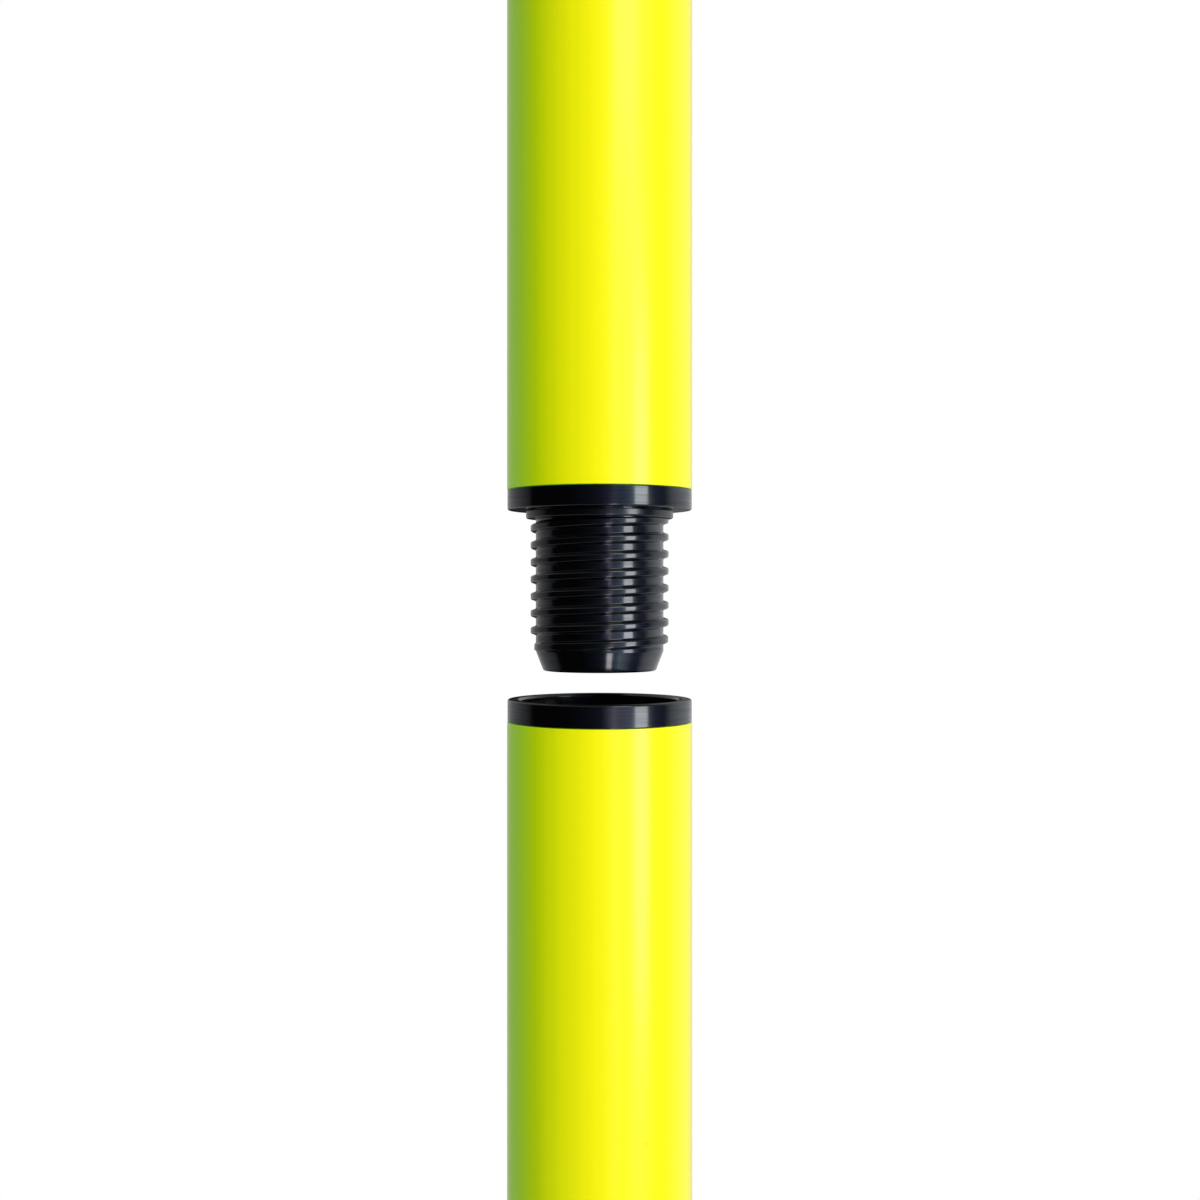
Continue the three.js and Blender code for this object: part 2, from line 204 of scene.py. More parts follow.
class PoleFinish(bpy.types.PropertyGroup):
    """Colours and gloss of the finishes, and the studio's light."""

    yellow: colour("Tube", "Fluorescent yellow of the tubes", (0.77, 0.498, 0.002))
    # painted glow: a constant green emission, the same under any light, that stands in for the dye's
    # fluorescence and greens the tubes' shaded side
    yellow_painted_glow: colour("Tube glow", "Light that the fluorescent dye gives off", (0.0, 0.272, 0.0))
    yellow_gloss: share("Tube roughness", "Roughness of the tubes", 0.21)
    black: colour("Connector", "Blue-black of the connectors", (0.0009, 0.001, 0.0014))
    black_gloss: share("Connector roughness", "Roughness of the connectors", 0.12)
    satin: colour("Plugs", "Black of the end cap and the foot plug", (0.012, 0.012, 0.013))
    satin_gloss: share("Plug roughness", "Roughness of the end cap and the foot plug", 0.38)
    rubber: colour("Thread washer", "Black of the rubber washer", (0.002, 0.002, 0.002))
    rubber_gloss: share("Washer roughness", "Roughness of the rubber washer", 0.18)
    steel: colour("Steel", "Zinc-plated steel", (0.6, 0.61, 0.62))
    steel_gloss: share("Steel roughness", "Roughness of the steel", 0.3)
    floor: colour("Floor", "Pale floor", (0.8, 0.8, 0.8))
    side_light: light("Side light", "Radiance of the side softbox", 7.4)
    high_light: light("High light", "Radiance of the high softbox", 3.3)
    front_light: light("Front light", "Radiance of the front fill", 6.0)
    back_light: light("Back light", "Radiance of the back fill", 4.2)


class Socket:
    """An output that takes part in arithmetic: each operator adds the Math node that works it out."""

    def __init__(self, graph, output):
        self.graph = graph
        self.output = output

    def __getitem__(self, name):
        """Another output of the same node."""
        return Socket(self.graph, self.output.node.outputs[name])

    def math(self, operation, first, second=0.0):
        """The result of a new Math node."""
        return self.graph.node("ShaderNodeMath", {"operation": operation}, {0: first, 1: second})

    def __add__(self, other):
        return self.math("ADD", self, other)

    def __sub__(self, other):
        return self.math("SUBTRACT", self, other)

    def __rsub__(self, other):
        return self.math("SUBTRACT", other, self)

    def __mul__(self, other):
        return self.math("MULTIPLY", self, other)

    def __gt__(self, other):
        return self.math("GREATER_THAN", self, other)

    def __lt__(self, other):
        return self.math("LESS_THAN", self, other)

    __radd__ = __add__
    __rmul__ = __mul__


class Graph:
    """A node tree that is filled by node(), which takes a node's type, its settings and its sockets."""

    def __init__(self, tree):
        self.tree = tree
        tree.nodes.clear()

    def node(self, kind, settings=(), sockets=(), output=0):
        """Adds a node. Its settings are set first, then the values or links of its sockets."""
        made = self.tree.nodes.new(kind)
        for name, value in dict(settings).items():
            if name == "stops":
                self.set_stops(made.color_ramp, value)
            else:
                setattr(made, name, value)
        for name, value in dict(sockets).items():
            if isinstance(value, Socket):
                self.tree.links.new(value.output, made.inputs[name])
            else:
                made.inputs[name].default_value = value
        return Socket(self, made.outputs[output]) if len(made.outputs) else None

    def set_stops(self, ramp, stops):
        """Sets a ramp's stops, given as (position, colour) in rising order."""
        first, *middle, last = stops
        for element, (position, tint) in zip(ramp.elements, (first, last)):
            element.position = position
            element.color = tint
        for position, tint in middle:
            ramp.elements.new(position).color = tint

    def mix(self, factor, first, second):
        """A mix of two colours."""
        return self.node("ShaderNodeMix", {"data_type": "RGBA"}, {0: factor, 6: first, 7: second}, 2)

    def stretched(self, vector, scale):
        """A vector times a scale along each axis."""
        return self.node("ShaderNodeVectorMath", {"operation": "MULTIPLY"}, {0: vector, 1: scale})

    def noise(self, vector, scale, detail=2.0, roughness=0.5):
        """Noise from 0 to 1, with its mean near a half. Its scale, or the vector's, is in cells a metre."""
        sockets = {"Vector": vector, "Scale": scale, "Detail": detail, "Roughness": roughness}
        return self.node("ShaderNodeTexNoise", {}, sockets)

    def spread(self, value, low, high):
        """Carries the middle range of a noise on to low to high."""
        sockets = {"Value": value, "From Min": 0.3, "From Max": 0.7, "To Min": low, "To Max": high}
        return self.node("ShaderNodeMapRange", {}, sockets)

    def shade(self, value, tint, low, high):
        """A colour whose brightness goes from low to high times its own with a noise."""
        return self.mix(self.spread(value, 0, 1), rgba(tint, low), rgba(tint, high))

    def smooth_step(self, value, start, end, low=0.0, high=1.0):
        """Goes smoothly from low to high as a value goes from start to end."""
        sockets = {"Value": value, "From Min": start, "From Max": end, "To Min": low, "To Max": high}
        return self.node("ShaderNodeMapRange", {"interpolation_type": "SMOOTHSTEP"}, sockets)

    def window(self, value, centre, half, soft):
        """1 where a value lies within half of a centre, falling to 0 over a further soft distance."""
        away = value - centre
        return self.smooth_step(away.math("ABSOLUTE", away), half + soft, half)

    def bump(self, height, strength, distance, under=None):
        """A normal that follows a height, over another such normal if one is given."""
        sockets = {"Height": height, "Strength": strength, "Distance": distance}
        if under is not None:
            sockets["Normal"] = under
        return self.node("ShaderNodeBump", {}, sockets)

    def finish(self, sockets):
        """The material's one shader and its output."""
        shader = self.node("ShaderNodeBsdfPrincipled", {}, sockets)
        self.node("ShaderNodeOutputMaterial", {}, {"Surface": shader})


def rgba(values, gain=1.0):
    """A colour as a socket takes it, times a gain."""
    return tuple(gain * value for value in values) + (1.0,)


def material(build):
    """The material with the name of the function build, which makes it the first time that it is asked for,
    as build(graph, place, finish), with the piece's Object coordinates as its place."""
    name = build.__name__
    made = bpy.data.materials.get(name)
    if made is None:
        made = bpy.data.materials.new(name)
        made.use_nodes = True
        graph = Graph(made.node_tree)
        build(graph, graph.node("ShaderNodeTexCoord")["Object"], bpy.context.scene.pole_finish)
    return made


def fluorescent_yellow_plastic(graph, place, finish):
    """Extruded plastic with a painted green glow under a coat of gloss: a constant emission, the same under
    any light, that stands in for the dye's fluorescence and greens the shaded side. Faint lines along the
    tube, slow waves in the coat, and rare specks, each in the middle of one cell in ten."""
    lines = graph.noise(graph.stretched(place, (900, 900, 5)), 1.0, 3.0)
    waves = graph.noise(graph.stretched(place, (60, 60, 25)), 1.0, 1.0)
    cells = graph.node("ShaderNodeTexVoronoi", {}, {"Vector": place, "Scale": 160})
    chosen = graph.node("ShaderNodeSeparateColor", {}, {"Color": cells["Color"]})
    specks = (cells < 0.035) * (chosen > 0.9)
    tone = graph.shade(lines, finish.yellow, 0.97, 1.02)
    ripple = graph.bump(waves, 0.25, 0.05 * MM)
    graph.finish({
        "Base Color": graph.mix(specks * 0.5, tone, rgba(finish.yellow, 0.4)),
        "Roughness": graph.spread(waves, 0.3, 0.36),
        "Specular IOR Level": 0.02,
        "Coat Weight": graph.spread(waves, 0.93, 1.0) - specks * 0.6,
        "Coat Roughness": finish.yellow_gloss,
        "Coat IOR": 1.33,
        # painted glow: a constant green emission that greens the shaded side whatever light falls on it
        "Emission Color": rgba(finish.yellow_painted_glow),
        "Emission Strength": 1.0,
        "Normal": graph.bump(lines, 0.2, 0.006 * MM, ripple),
    })


def gloss_black_plastic(graph, place, finish):
    """Moulded gloss plastic: a slightly wavy skin, fine flow lines round it that also vary its coat, and
    patches of duller gloss."""
    waves = graph.noise(place, 330, 1.5)
    flow = graph.noise(graph.stretched(place, (90, 90, 3000)), 1.0, 1.5)
    patches = graph.noise(graph.stretched(place, (170, 170, 420)), 1.0, 3.0)
    skin = graph.bump(waves, 0.35, 0.04 * MM)
    graph.finish({
        "Base Color": graph.shade(patches, finish.black, 0.8, 1.3),
        "Roughness": graph.spread(patches, finish.black_gloss - 0.04, finish.black_gloss + 0.06),
        "Specular IOR Level": 0.31,
        "Coat Weight": graph.spread(flow, 0.22, 0.58),
        "Coat Roughness": finish.black_gloss,
        "Normal": graph.bump(flow, 0.14, 0.008 * MM, skin),
    })


def satin_black_plastic(graph, place, finish):
    """Moulded satin plastic with a fine spark-eroded grain."""
    grain = graph.noise(place, 4200)
    cloud = graph.noise(place, 140)
    graph.finish({
        "Base Color": graph.shade(cloud, finish.satin, 0.8, 1.25),
        "Roughness": graph.spread(cloud, finish.satin_gloss - 0.05, finish.satin_gloss + 0.06),
        "Normal": graph.bump(grain, 0.5, 0.03 * MM),
    })


def black_rubber(graph, place, finish):
    """Black rubber with a slight sheen, which varies in patches, and a fine uneven skin."""
    skin = graph.noise(place, 2600, 3.0)
    patches = graph.noise(place, 420, 3.0, 0.6)
    graph.finish({
        "Base Color": graph.shade(patches, finish.rubber, 0.8, 1.5),
        "Roughness": graph.spread(patches, finish.rubber_gloss - 0.03, finish.rubber_gloss + 0.04),
        "Normal": graph.bump(skin, 0.2, 0.01 * MM),
    })


def zinced_steel(graph, place, finish):
    """Turned steel with a zinc coat: fine rings from the lathe and a faint cloud in the coat."""
    rings = graph.noise(graph.stretched(place, (40, 40, 5200)), 1.0, 3.0, 0.6)
    cloud = graph.noise(place, 210, 3.0, 0.6)
    gloss = graph.spread(cloud, finish.steel_gloss - 0.06, finish.steel_gloss + 0.08)
    graph.finish({
        "Base Color": graph.shade(cloud, finish.steel, 0.86, 1.06),
        "Metallic": 1.0,
        "Roughness": gloss + graph.spread(rings, -0.03, 0.05),
        "Normal": graph.bump(rings, 0.4, 0.02 * MM),
    })


FINISHES = {
    "tube_yellow": fluorescent_yellow_plastic,
    "connector_black": gloss_black_plastic,
    "moulded_black": satin_black_plastic,
    "washer_rubber": black_rubber,
    "spike_steel": zinced_steel,
    "fastener_steel": zinced_steel,
}


def rounded(corners, closed=True):
    """Rows of a half profile, as (radius, height, rib share), from corners (radius, height, rounding, rib
    share), of which the last may be left out. A rounding is the arc that touches both sides: it starts
    rounding / tan(half the angle at the corner) from it, and its points are the two ends, seen from the
    arc's centre, swung from one to the other in equal steps. A point stands just outside each end."""
    corners = np.array([tuple(corner) + (0.0,) * (4 - len(corner)) for corner in corners], float)
    rows = []
    for i, (radius, height, rounding, rib) in enumerate(corners):
        here = corners[i, :2]
        if rounding == 0 or (not closed and i in (0, len(corners) - 1)):
            rows.append([[radius, height, rib]])
            continue
        to_last = corners[i - 1, :2] - here
        to_next = corners[(i + 1) % len(corners), :2] - here
        last_side = np.linalg.norm(to_last)
        next_side = np.linalg.norm(to_next)
        to_last /= last_side
        to_next /= next_side
        half = np.arccos(np.clip(to_last @ to_next, -1, 1)) / 2
        start = rounding / np.tan(half)
        middle = to_last + to_next
        centre = here + middle / np.linalg.norm(middle) * rounding / np.sin(half)
        swing = np.pi - 2 * half
        step = np.linspace(0, 1, ARC_STEPS + 1)[:, None]
        first = here + to_last * start - centre
        final = here + to_next * start - centre
        arc = centre + (np.sin((1 - step) * swing) * first + np.sin(step * swing) * final) / np.sin(swing)
        before = here + to_last * (start + min(SUPPORT_GAP, (last_side - start) / 4))
        after = here + to_next * (start + min(SUPPORT_GAP, (next_side - start) / 4))
        points = np.vstack([before, arc, after])
        rows.append(np.column_stack([points, np.full(len(points), rib)]))
    return np.vstack(rows)


def column_angles():
    """The angle of each column, with the first column's repeated at the full turn."""
    return np.arange(COLUMNS + 1) / COLUMNS * FULL_TURN


def turned(rows, tube=None):
    """Radius and height grids of rows turned about the axis. A row with a rib share carries the crush
    ribs: their height times that share, times 1 on a rib and 0 off it, with a slope one column wide."""
    angles = column_angles()
    radius = np.repeat(rows[:, :1], COLUMNS + 1, axis=1)
    height = np.repeat(rows[:, 1:2], COLUMNS + 1, axis=1)
    if tube is not None:
        step = FULL_TURN / tube.rib_count
        slope = FULL_TURN / COLUMNS
        off_centre = np.abs((angles + step / 2) % step - step / 2)
        half = tube.rib_width / (2 * tube.spigot)
        on_rib = np.clip((half + slope - off_centre) / slope, 0, 1)
        radius = radius + rows[:, 2:3] * tube.rib_height * on_rib[None, :]
    return np.stack([radius, height])


def ridge_section(base, crest, depth, root_rounding, crest_rounding):
    """Profile of a ridge as rows (offset along the axis, height), from one side to the other."""
    corners = [
        (-base, 0, 0),
        (-base / 2, 0, root_rounding),
        (-crest / 2, depth, crest_rounding),
        (crest / 2, depth, crest_rounding),
        (base / 2, 0, root_rounding),
        (base, 0, 0),
    ]
    return rounded(corners, closed=False)[1:-1, :2]


def ridge_at(height, section, pitch, centre):
    """The rise of a wound ridge at each point of a height grid, and the turns wound there since its centre.
    The offset from the nearest turn is height - centre - pitch * angle / full turn less whole pitches."""
    climb = column_angles() / FULL_TURN
    from_centre = (height - centre) / pitch - climb
    nearest = np.round(from_centre)
    rise = np.interp((from_centre - nearest) * pitch, section[:, 0], section[:, 1])
    return rise, nearest + climb


def wound(section, pitch, centre, low, high, radius_at):
    """Radius and height grids of a surface that carries a helical thread between two heights. A row climbs
    one pitch round the axis: height = centre + pitch * (turn + angle / full turn) + offset, with the
    offsets of the ridge's section, and is then held between low and high. The radius is radius_at(height,
    rise, turn), with what ridge_at gives there."""
    spare = 2  # turns beyond either end
    first = math.floor((low - centre) / pitch) - spare
    last = math.ceil((high - centre) / pitch) + spare
    turns = np.arange(first, last)
    along = (turns[:, None] * pitch + section[None, :, 0]).reshape(-1, 1)
    height = np.clip(centre + along + pitch * (column_angles() / FULL_TURN), low, high)
    return np.stack([radius_at(height, *ridge_at(height, section, pitch, centre)), height])


def closed_mesh(name, grids):
    """A closed mesh from radius and height grids, one after the other. A point is (radius cos a, radius
    sin a, height), and each row joins the next and the last joins the first. Points that meet are
    welded, so a square that has lost a corner becomes a triangle, and one that has lost two is left out."""
    radius, height = np.concatenate(grids, axis=1)
    angles = column_angles()
    points = np.stack([radius * np.cos(angles), radius * np.sin(angles), height], axis=-1).reshape(-1, 3)
    keys = np.round(points / WELD_DISTANCE).astype(np.int64)
    _, kept, welded = np.unique(keys, axis=0, return_index=True, return_inverse=True)
    points = points[kept]
    corner = welded.reshape(radius.shape)
    above = np.roll(corner, -1, axis=0)
    squares = np.stack([corner[:, :-1], corner[:, 1:], above[:, 1:], above[:, :-1]], axis=-1).reshape(-1, 4)
    lost = squares == np.roll(squares, -1, axis=1)
    whole = squares[lost.sum(axis=1) == 0]
    partly = lost.sum(axis=1) == 1
    triangles = squares[partly][~lost[partly]].reshape(-1, 3)
    check_closed(name, points, whole, triangles)
    mesh = bpy.data.meshes.new(name)
    mesh.from_pydata(points.tolist(), [], whole.tolist() + triangles.tolist())
    mesh.validate()
    mesh.shade_smooth()
    mesh.set_sharp_from_angle(angle=SHARP_ANGLE)
    return mesh


def check_closed(name, points, squares, triangles):
    """Raises an error unless each edge joins two faces and the faces point outwards, which makes the
    sum of the volumes under them positive."""
    edges = []
    for faces in (squares, triangles):
        for side in range(faces.shape[1]):
            edges.append(np.sort(np.stack([faces[:, side], np.roll(faces, -1, axis=1)[:, side]], axis=1)))
    shared = np.unique(np.vstack(edges), axis=0, return_counts=True)[1]
    halves = np.vstack([squares[:, :3], squares[:, [0, 2, 3]], triangles])
    first, second, third = points[halves[:, 0]], points[halves[:, 1]], points[halves[:, 2]]
    volume = np.einsum("ij,ij->i", first, np.cross(second, third)).sum() / 6
    if volume <= 0 or not np.all(shared == 2):
        raise RuntimeError(f"{name} isn't closed: volume {volume}, {np.sum(shared != 2)} open edges")


def add_piece(name, grids, slot, body, node):
    """Makes a piece with its slot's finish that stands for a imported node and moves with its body."""
    mesh = closed_mesh(name, grids)
    mesh.materials.append(material(FINISHES[slot]))
    piece = bpy.data.objects.new(name, mesh)
    bpy.context.scene.collection.objects.link(piece)
    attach(piece, body)
    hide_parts(node)


def spigot_corners(tube, root, end, inner):
    """Corners along a ribbed spigot from its root to the edge of its hollow. The ribs sink, and the end
    is drawn in, just before the free end."""
    up = 1 if end > root else -1
    return [
        (tube.spigot, root, 0, 1),
        (tube.spigot, end - up * tube.lead_start, 0, 1),
        (tube.spigot, end - up * tube.lead_end, 0, 0),
        (tube.spigot - tube.lead_drop, end, tube.end_rounding),
        (inner, end, tube.end_rounding),
    ]


def tube_rows(tube, node):
    """A tube: up the outside in equal spans and down the bore."""
    foot, top, _ = extent(node)
    outside = [(tube.outer, height, 0) for height in np.linspace(foot, top, tube.spans + 1)[1:-1]]
    corners = [
        (tube.bore, foot, tube.end_rounding),
        (tube.outer, foot, tube.end_rounding),
        *outside,
        (tube.outer, top, tube.end_rounding),
        (tube.bore, top, tube.end_rounding),
    ]
    return [turned(rounded(corners))]


class POLE_OT_tubes(bpy.types.Operator):
    """Draw the two extruded tubes"""

    bl_idname = "pole.tubes"
    bl_label = "Tubes"

    def execute(self, context):
        tube = context.scene.pole_tube
        lower = tube_rows(tube, "lower_tube")
        upper = tube_rows(tube, "upper_tube")
        add_piece("lower_tube_extrusion", lower, "tube_yellow", "lower_half", "lower_tube")
        add_piece("upper_tube_extrusion", upper, "tube_yellow", "upper_half", "upper_tube")
        return {"FINISHED"}


def helix_centre(thread):
    """Height of a ridge's centre on the +X side, which both threads share."""
    return extent("male_connector")[0] + thread.reach - thread.ridge_drop


def threaded_plug_rows(tube, thread):
    """The threaded plug, from its bore's lower edge: the tapered tip, the core with its ridge, the collar,
    the spigot and back down inside. The ridge is added to the core and cut flat at both ends of the core,
    and over the fading turns its last part sinks in: its rise is multiplied by t * t * (3 - 2 * t), with t
    the share of those turns."""
    tip, _, edge = extent("male_connector")
    taper_top = tip + thread.tip_length
    collar_foot = tip + thread.reach
    collar_top = collar_foot + thread.collar
    spigot_top = collar_top + thread.plug_spigot
    ridge_top = collar_foot - thread.washer_room
    centre = helix_centre(thread)
    last_turn = (taper_top - thread.run_out - centre) / thread.pitch
    tip_corners = [
        (thread.plug_bore, tip, thread.seat_rounding),
        (thread.core - thread.tip_taper, tip, thread.tip_rounding),
        (thread.core, taper_top, thread.tip_rounding),
        (thread.core, collar_foot, 0),
    ]
    tip_rows = rounded([(thread.plug_bore, spigot_top, 0), *tip_corners], closed=False)[1:-1]
    section = ridge_section(
        thread.ridge_base, thread.ridge_crest, thread.depth, thread.root_rounding, thread.crest_rounding
    )

    def radius_at(height, rise, turn):
        fade = np.clip((turn - last_turn) / thread.fade_turns, 0, 1)
        return thread.core + rise * fade * fade * (3 - 2 * fade)

    ridge = wound(section, thread.pitch, centre, tip_rows[-1, 1], ridge_top, radius_at)
    upper_corners = [
        (thread.core, ridge_top, 0),
        (thread.core, collar_foot, 0),
        (edge, collar_foot, thread.edge_rounding),
        (edge, collar_top, thread.seat_rounding),
        *spigot_corners(tube, collar_top, spigot_top, thread.plug_hollow),
        (thread.plug_hollow, collar_top + thread.funnel, thread.edge_rounding),
        (thread.plug_bore, collar_top, thread.edge_rounding),
        (thread.plug_bore, taper_top, 0),
    ]
    return [turned(tip_rows), ridge, turned(rounded(upper_corners, closed=False), tube)]


class POLE_OT_threaded_plug(bpy.types.Operator):
    """Draw the upper half's moulded plug with its thread"""

    bl_idname = "pole.threaded_plug"
    bl_label = "Threaded Plug"

    def execute(self, context):
        rows = threaded_plug_rows(context.scene.pole_tube, context.scene.pole_thread)
        add_piece("threaded_plug", rows, "connector_black", "upper_half", "male_connector")
        return {"FINISHED"}


def washer_rows(node, bore, rounding, lower_rounding):
    """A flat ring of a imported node's height and width, with its lower outer edge rounded on its own."""
    foot, top, edge = extent(node)
    corners = [
        (bore, foot, rounding),
        (edge, foot, lower_rounding),
        (edge, top, rounding),
        (bore, top, rounding),
    ]
    return [turned(rounded(corners))]


class POLE_OT_thread_washer(bpy.types.Operator):
    """Draw the rubber washer under the plug's collar"""

    bl_idname = "pole.thread_washer"
    bl_label = "Thread Washer"

    def execute(self, context):
        thread = context.scene.pole_thread
        roundings = (thread.seat_rounding, thread.washer_rounding)
        washer = washer_rows("thread_washer", thread.washer_bore, *roundings)
        add_piece("thread_ring", washer, "washer_rubber", "washer_ring", "thread_washer")
        return {"FINISHED"}


def threaded_socket_rows(tube, thread):
    """The threaded socket, from its lower end: up the ribbed spigot and the collar, over the rim, and down
    the mouth, the funnel, the thread and the relief. The groove is the ridge's section made wider by
    the side play, and where it crosses the funnel the larger of the two radii holds."""
    end, rim, edge = extent("female_connector")
    mouth_floor = rim - thread.mouth_depth
    thread_top = mouth_floor - thread.depth
    thread_end = rim - thread.socket_thread
    base = thread.ridge_base + 2 * thread.side_play
    crest = thread.ridge_crest + 2 * thread.side_play
    section = ridge_section(base, crest, thread.depth, thread.root_rounding, thread.root_rounding)
    outer_corners = [
        (thread.relief, end, thread.seat_rounding),
        *reversed(spigot_corners(tube, rim - thread.socket_collar, end, thread.relief)[:-1]),
        (edge, rim - thread.socket_collar, thread.seat_rounding),
        (edge, rim, thread.edge_rounding),
        (thread.mouth + thread.mouth_chamfer, rim, thread.seat_rounding),
        (thread.mouth, rim - thread.mouth_chamfer, thread.seat_rounding),
        (thread.mouth, mouth_floor, thread.seat_rounding),
        (thread.groove, mouth_floor, 0),
    ]
    outside = rounded([(thread.relief, thread_end, 0), *outer_corners], closed=False)[1:]

    def radius_at(height, rise, turn):
        return thread.socket + rise

    groove = wound(section, thread.pitch, helix_centre(thread), thread_end, thread_top, radius_at)
    funnel = funnel_rows(thread, section, mouth_floor, thread_top)
    relief = np.array([
        (thread.groove, thread_end - thread.depth, 0),
        (thread.relief, thread_end - thread.depth - thread.clearance, 0),
    ])
    return [turned(outside, tube), funnel, groove[:, ::-1], turned(relief)]


def funnel_rows(thread, section, top, foot):
    """Level rows down the funnel between the mouth's floor and the thread. Its radius falls evenly from
    the groove's to the socket's, and is never less than the groove's there."""
    spans = 10
    height = np.repeat(np.linspace(top, foot, spans + 1)[:, None], COLUMNS + 1, axis=1)
    rise, _ = ridge_at(height, section, thread.pitch, helix_centre(thread))
    cone = thread.groove - (top - height)
    return np.stack([np.maximum(cone, thread.socket + rise), height])


class POLE_OT_threaded_socket(bpy.types.Operator):
    """Draw the lower half's moulded socket with its thread"""

    bl_idname = "pole.threaded_socket"
    bl_label = "Threaded Socket"

    def execute(self, context):
        rows = threaded_socket_rows(context.scene.pole_tube, context.scene.pole_thread)
        add_piece("threaded_socket", rows, "connector_black", "lower_half", "female_connector")
        return {"FINISHED"}


class POLE_OT_top_cap(bpy.types.Operator):
    """Draw the moulded cap that closes the upper tube"""

    bl_idname = "pole.top_cap"
    bl_label = "Top Cap"

    def execute(self, context):
        tube = context.scene.pole_tube
        ends = context.scene.pole_ends
        foot, top, edge = extent("top_cap")
        seat = top - ends.cap_plate
        hollow = tube.spigot - ends.cap_wall
        corners = [
            *reversed(spigot_corners(tube, seat, foot, hollow)),
            (edge, seat, tube.end_rounding),
            (edge, top, ends.cap_rounding),
            (0, top, 0),
            (0, seat, 0),
            (hollow, seat, ends.steel_rounding),
        ]
        rows = [turned(rounded(corners), tube)]
        add_piece("end_cap", rows, "moulded_black", "upper_half", "top_cap")
        return {"FINISHED"}


class POLE_OT_foot_plug(bpy.types.Operator):
    """Draw the moulded plug that closes the lower tube and holds the spike"""

    bl_idname = "pole.foot_plug"
    bl_label = "Foot Plug"

    def execute(self, context):
        tube = context.scene.pole_tube
        thread = context.scene.pole_thread
        ends = context.scene.pole_ends
        foot, top, edge = extent("foot_plug")
        web_foot = foot + ends.recess_depth
        web_top = web_foot + ends.web
        hollow = tube.spigot - ends.foot_wall
        corners = [
            (ends.recess, foot, ends.steel_rounding),
            (edge, foot, thread.edge_rounding),
            (edge, foot + ends.flange, thread.seat_rounding),
            *spigot_corners(tube, foot + ends.flange, top, hollow),
            (hollow, web_top, thread.edge_rounding),
            (ends.shank_hole, web_top, ends.steel_rounding),
            (ends.shank_hole, web_foot, ends.steel_rounding),
            (ends.recess, web_foot, ends.steel_rounding),
        ]
        rows = [turned(rounded(corners), tube)]
        add_piece("foot_plug_moulding", rows, "moulded_black", "lower_half", "foot_plug")
        return {"FINISHED"}


def shank_section(ends):
    """Section of the shank's thread: flanks at 60 degrees to each other, and a flat crest of an eighth of
    the pitch, as in a standard screw."""
    crest = ends.shank_pitch / 8
    base = crest + 2 * ends.shank_depth * math.tan(math.radians(30))
    return ridge_section(base, crest, ends.shank_depth, 0, 0)


class POLE_OT_ground_spike(bpy.types.Operator):
    """Draw the pointed steel spike with its collar and threaded shank"""

    bl_idname = "pole.ground_spike"
    bl_label = "Ground Spike"

    def execute(self, context):
        ends = context.scene.pole_ends
        foot, top, collar = extent("ground_spike")
        root = ends.shank - ends.shank_depth
        thread_foot = ends.spike_collar + ends.undercut
        lower_corners = [
            (0, foot, 0),
            (ends.tip, foot + ends.tip_height, ends.tip_height / 2),
            (ends.rod, foot + ends.point, ends.rod),
            (ends.rod, 0, ends.steel_rounding),
            (collar, 0, ends.steel_rounding),
            (collar, ends.spike_collar, ends.steel_rounding),
            (ends.shank, ends.spike_collar, ends.steel_rounding),
            (ends.shank, thread_foot, 0),
        ]

        def radius_at(height, rise, turn):
            chamfer = ends.shank - ends.shank_chamfer + (top - height)
            return np.minimum(root + rise, chamfer)

        thread = wound(shank_section(ends), ends.shank_pitch, 0, thread_foot, top, radius_at)
        rows = [turned(rounded(lower_corners, closed=False)), thread, turned(np.array([(0, top, 0)]))]
        add_piece("steel_spike", rows, "spike_steel", "lower_half", "ground_spike")
        return {"FINISHED"}


def nut_rows(ends):
    """The nut: six flats, cut by a cone at both ends, round a bore whose thread lies between the turns of
    the shank's. A flat's radius is the flats' distance over the cosine of the angle from its middle."""
    foot, top, flat = extent("spike_nut")
    chamfer_steps = 8
    cone_slope = 2  # growth of the cutting cone's radius per height from the nut's end
    sides = 6
    side_angle = FULL_TURN / sides
    low_rows = np.linspace(0, ends.nut_chamfer, chamfer_steps)
    above_foot = np.concatenate([low_rows, (top - foot) - low_rows[::-1]])[:, None]
    from_end = np.minimum(above_foot, (top - foot) - above_foot)
    angles = column_angles()
    from_flat = (angles - side_angle / 2) % side_angle - side_angle / 2
    outer = np.minimum(flat / np.cos(from_flat)[None, :], flat + cone_slope * from_end)
    outside = np.stack([outer, np.repeat(foot + above_foot, COLUMNS + 1, axis=1)])
    minor = ends.shank - ends.shank_depth + ends.nut_clearance
    section = shank_section(ends)

    def radius_at(height, rise, turn):
        countersink = ends.steel_bore - np.minimum(height - foot, top - height)
        return np.maximum(minor + rise, countersink)

    bore = wound(section, ends.shank_pitch, 0, foot, top, radius_at)
    return [outside, bore[:, ::-1]]


class POLE_OT_spike_fasteners(bpy.types.Operator):
    """Draw the washer and nut that hold the spike in the foot plug"""

    bl_idname = "pole.spike_fasteners"
    bl_label = "Spike Fasteners"

    def execute(self, context):
        ends = context.scene.pole_ends
        washer = washer_rows("spike_washer", ends.steel_bore, ends.steel_rounding, ends.steel_rounding)
        add_piece("shank_washer", washer, "fastener_steel", "lower_half", "spike_washer")
        add_piece("shank_nut", nut_rows(ends), "fastener_steel", "lower_half", "spike_nut")
        return {"FINISHED"}


# The camera, level with the gap between the halves
CAMERA_HEIGHT = 821.6 * MM
CAMERA_PLACE = (0.05 * MM, -205 * MM, CAMERA_HEIGHT)
CAMERA_LENS = 45.4  # on the usual 36 mm sensor
CAMERA_SHIFT = -0.0069  # share of the picture's width, downwards
CAMERA_TILT = math.radians(90)  # level

